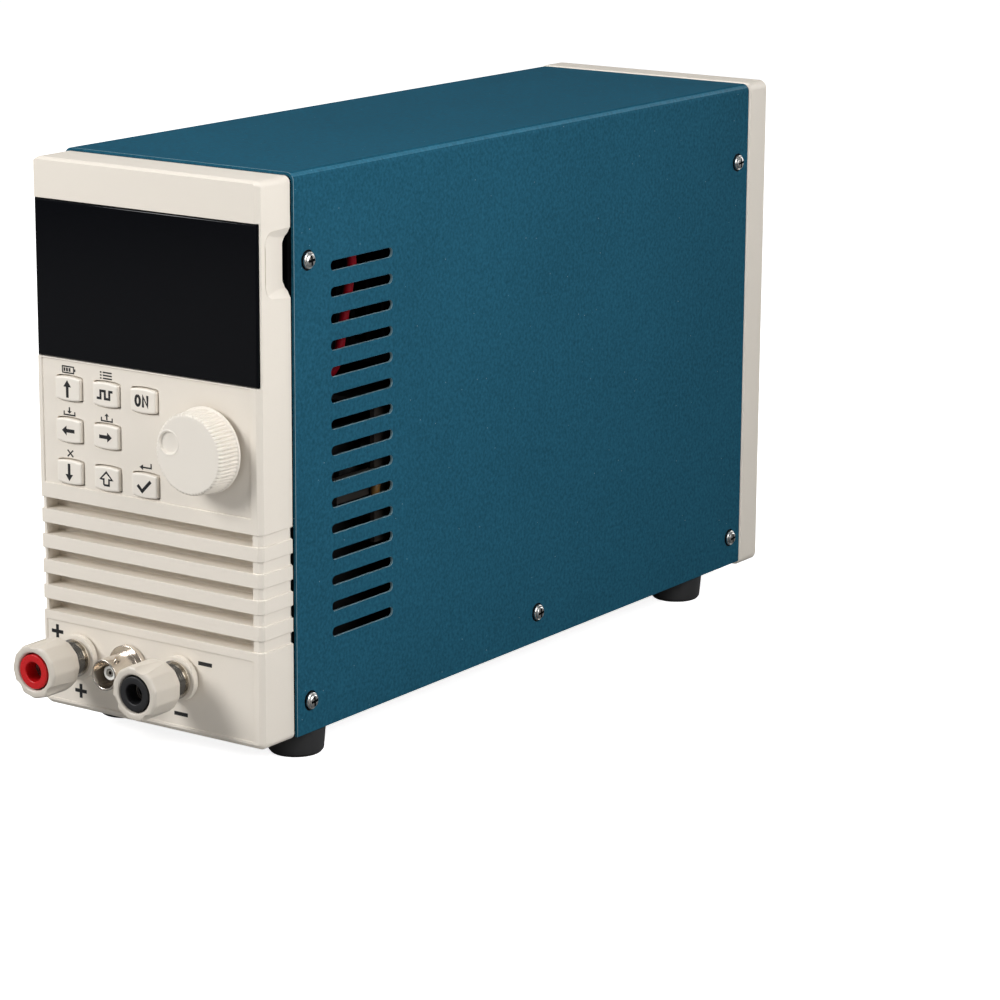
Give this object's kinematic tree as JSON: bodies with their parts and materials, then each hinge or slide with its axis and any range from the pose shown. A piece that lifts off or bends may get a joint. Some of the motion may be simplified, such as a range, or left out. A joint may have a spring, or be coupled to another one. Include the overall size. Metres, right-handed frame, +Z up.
{
  "type": "dc electronic load",
  "caption": "Bench DC electronic load: tall box with black display window, keypad, encoder knob, louvres, two binding posts and a coaxial socket.",
  "frame": {"origin": "centre of the bounding box on the ground, under the middle of the case", "axes": "+Z up, -Y out of the front panel, +X to the right seen from the front"},
  "size_m": [0.0894, 0.3008, 0.1772],
  "materials": {
    "cream_plastic": "fine textured moulding",
    "pale_plastic": "smooth satin moulding",
    "blue_paint": "satin blue-green powder coat",
    "black_window": "gloss black window",
    "black_plastic": "satin black moulding",
    "black_rubber": "matt black rubber",
    "red_plastic": "gloss red moulding",
    "nickel": "bright nickel plate",
    "screw_steel": "bright zinc plate",
    "galvanised": "galvanised sheet",
    "aluminium": "natural extruded aluminium",
    "white_ptfe": "white insulator",
    "display_glass": "dark display module",
    "board_green": "green circuit board",
    "board_brown": "brown circuit board with components",
    "core_steel": "varnished laminations"
  },
  "bodies": {
    "case": {"case_cover": "blue_paint", "chassis_tray": "galvanised", "front_plate": "galvanised", "rear_panel": "galvanised", "front_bezel": "cream_plastic", "rear_frame": "cream_plastic", "display_window": "black_window", "display_module": "display_glass", "front_board": "board_green", "encoder_body": "galvanised", "bnc_shell": "nickel", "bnc_insulator": "white_ptfe", "bnc_contact": "nickel", "fan_frame": "black_plastic", "fan_guard": "nickel", "mains_inlet": "black_plastic", "switch_body": "black_plastic", "serial_port": "nickel", "heatsink": "aluminium", "sink_cradle": "galvanised", "power_board": "board_brown", "transformer": "core_steel", "control_board": "board_brown", "input_lead_red": "red_plastic", "input_lead_black": "black_plastic", "red_post_collar": "cream_plastic", "red_post_stud": "nickel", "black_post_collar": "cream_plastic", "black_post_stud": "nickel", "screw_right_front_high": "screw_steel", "screw_right_front_low": "screw_steel", "screw_right_middle": "screw_steel", "screw_right_rear_low": "screw_steel", "screw_right_rear_high": "screw_steel", "screw_left_front_high": "screw_steel", "screw_left_front_low": "screw_steel", "screw_left_middle": "screw_steel", "screw_left_rear_low": "screw_steel", "screw_left_rear_high": "screw_steel", "foot_front_left": "black_rubber", "foot_front_right": "black_rubber", "foot_rear_left": "black_rubber", "foot_rear_right": "black_rubber"},
    "knob": {"encoder_knob": "pale_plastic", "encoder_shaft": "nickel"},
    "fan_rotor": {"fan_rotor": "black_plastic"},
    "rocker": {"rocker": "black_plastic"},
    "fuse_drawer": {"fuse_drawer": "black_plastic"},
    "key_up": {"key_up": "pale_plastic"},
    "key_mode": {"key_mode": "pale_plastic"},
    "key_on": {"key_on": "pale_plastic"},
    "key_left": {"key_left": "pale_plastic"},
    "key_right": {"key_right": "pale_plastic"},
    "key_down": {"key_down": "pale_plastic"},
    "key_shift": {"key_shift": "pale_plastic"},
    "key_set": {"key_set": "pale_plastic"},
    "red_insert": {"red_post_insert": "red_plastic"},
    "red_cap": {"red_post_cap": "pale_plastic"},
    "black_insert": {"black_post_insert": "black_plastic"},
    "black_cap": {"black_post_cap": "pale_plastic"}
  },
  "joints": [
    {"name": "key_up_press", "type": "slide", "parent": "case", "child": "key_up", "axis": [0, 1, 0], "range_m": [0, 0.0006], "stiffness_N_per_m": 2500, "springref_m": -0.0004},
    {"name": "key_mode_press", "type": "slide", "parent": "case", "child": "key_mode", "axis": [0, 1, 0], "range_m": [0, 0.0006], "stiffness_N_per_m": 2500, "springref_m": -0.0004},
    {"name": "key_on_press", "type": "slide", "parent": "case", "child": "key_on", "axis": [0, 1, 0], "range_m": [0, 0.0006], "stiffness_N_per_m": 2500, "springref_m": -0.0004},
    {"name": "key_left_press", "type": "slide", "parent": "case", "child": "key_left", "axis": [0, 1, 0], "range_m": [0, 0.0006], "stiffness_N_per_m": 2500, "springref_m": -0.0004},
    {"name": "key_right_press", "type": "slide", "parent": "case", "child": "key_right", "axis": [0, 1, 0], "range_m": [0, 0.0006], "stiffness_N_per_m": 2500, "springref_m": -0.0004},
    {"name": "key_down_press", "type": "slide", "parent": "case", "child": "key_down", "axis": [0, 1, 0], "range_m": [0, 0.0006], "stiffness_N_per_m": 2500, "springref_m": -0.0004},
    {"name": "key_shift_press", "type": "slide", "parent": "case", "child": "key_shift", "axis": [0, 1, 0], "range_m": [0, 0.0006], "stiffness_N_per_m": 2500, "springref_m": -0.0004},
    {"name": "key_set_press", "type": "slide", "parent": "case", "child": "key_set", "axis": [0, 1, 0], "range_m": [0, 0.0006], "stiffness_N_per_m": 2500, "springref_m": -0.0004},
    {"name": "knob_turn", "type": "hinge", "parent": "case", "child": "knob", "pos_m": [0.0232, -0.13385, 0.0963], "axis": [0, 1, 0], "continuous": true},
    {"name": "red_post_travel", "type": "slide", "parent": "case", "child": "red_insert", "axis": [0, 1, 0], "range_m": [-0.0008, 0.0045]},
    {"name": "red_post_turn", "type": "hinge", "parent": "red_insert", "child": "red_cap", "pos_m": [-0.0278, -0.14385, 0.0253], "axis": [0, 1, 0], "range_deg": [-225, 1290]},
    {"name": "black_post_travel", "type": "slide", "parent": "case", "child": "black_insert", "axis": [0, 1, 0], "range_m": [-0.0008, 0.0045]},
    {"name": "black_post_turn", "type": "hinge", "parent": "black_insert", "child": "black_cap", "pos_m": [0.0113, -0.14385, 0.0253], "axis": [0, 1, 0], "range_deg": [-225, 1290]},
    {"name": "fan_spin", "type": "hinge", "parent": "case", "child": "fan_rotor", "pos_m": [0, 0.12415, 0.134], "axis": [0, 1, 0], "continuous": true},
    {"name": "rocker_tilt", "type": "hinge", "parent": "case", "child": "rocker", "pos_m": [0.02, 0.13915, 0.062], "axis": [1, 0, 0], "range_deg": [-16, 0]},
    {"name": "fuse_drawer_pull", "type": "slide", "parent": "case", "child": "fuse_drawer", "axis": [0, 1, 0], "range_m": [0, 0.014]}
  ],
  "couplings": [
    {"joint": "red_post_travel", "follows": "red_post_turn", "m_per_rad": 0.00019894},
    {"joint": "black_post_travel", "follows": "black_post_turn", "m_per_rad": 0.00019894}
  ]
}
